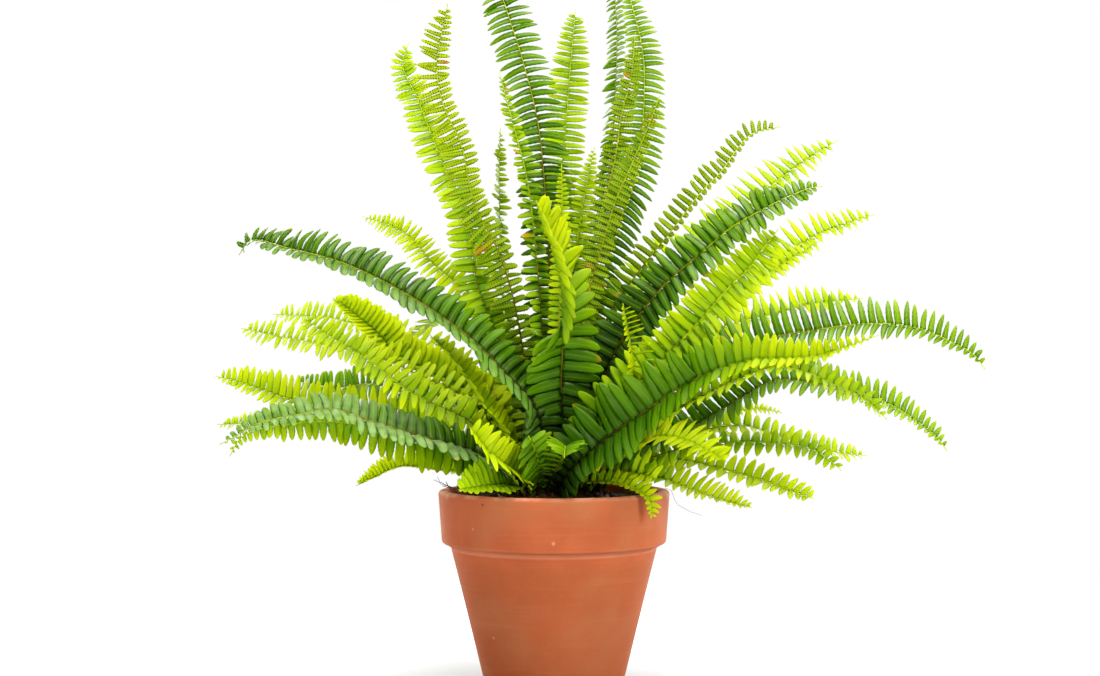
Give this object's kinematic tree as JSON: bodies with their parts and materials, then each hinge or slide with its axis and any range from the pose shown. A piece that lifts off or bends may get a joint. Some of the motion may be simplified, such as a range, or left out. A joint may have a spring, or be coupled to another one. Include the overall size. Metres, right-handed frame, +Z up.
{
  "type": "potted fern",
  "caption": "Potted fern: arching and upright fronds with paired leaflets on a rootstock in soil, in a tapered terracotta pot with a thick rim band.",
  "frame": {"origin": "middle of the pot's foot, on the surface that the pot stands on", "axes": "+Z up; -Y is the side that the picture shows, with +X to its right"},
  "size_m": [0.5906, 0.4411, 0.6114],
  "materials": {
    "terracotta": "matte",
    "soil": "matte",
    "rootstock": "matte",
    "frond_new": "satin",
    "frond_grown": "satin",
    "frond_old": "satin"
  },
  "bodies": {
    "root": {"pot": "terracotta", "soil": "soil", "rootstock": "rootstock", "frond_01": "frond_old", "frond_02": "frond_grown", "frond_03": "frond_grown", "frond_04": "frond_new", "frond_05": "frond_new", "frond_06": "frond_new", "frond_07": "frond_grown", "frond_08": "frond_old", "frond_09": "frond_old", "frond_10": "frond_old", "frond_11": "frond_grown", "frond_12": "frond_grown", "frond_13": "frond_old", "frond_14": "frond_new", "frond_15": "frond_new", "frond_16": "frond_new", "frond_17": "frond_new", "frond_18": "frond_new", "frond_19": "frond_new", "frond_20": "frond_new", "frond_21": "frond_old", "frond_22": "frond_grown", "frond_23": "frond_new", "frond_24": "frond_old", "frond_25": "frond_new", "frond_26": "frond_grown", "frond_27": "frond_new", "frond_28": "frond_new", "frond_29": "frond_new", "frond_30": "frond_grown", "frond_31": "frond_old", "frond_32": "frond_old", "frond_33": "frond_new", "frond_34": "frond_grown", "frond_35": "frond_new", "frond_36": "frond_grown", "frond_37": "frond_new", "frond_38": "frond_old", "frond_39": "frond_new", "frond_40": "frond_new", "frond_41": "frond_grown", "frond_42": "frond_new", "frond_43": "frond_old", "frond_44": "frond_old", "frond_45": "frond_new", "frond_46": "frond_new", "frond_47": "frond_new", "frond_48": "frond_grown", "frond_49": "frond_new", "frond_50": "frond_new", "frond_51": "frond_grown", "frond_52": "frond_grown", "frond_53": "frond_grown", "frond_54": "frond_grown", "frond_55": "frond_grown", "frond_56": "frond_grown"}
  },
  "joints": []
}
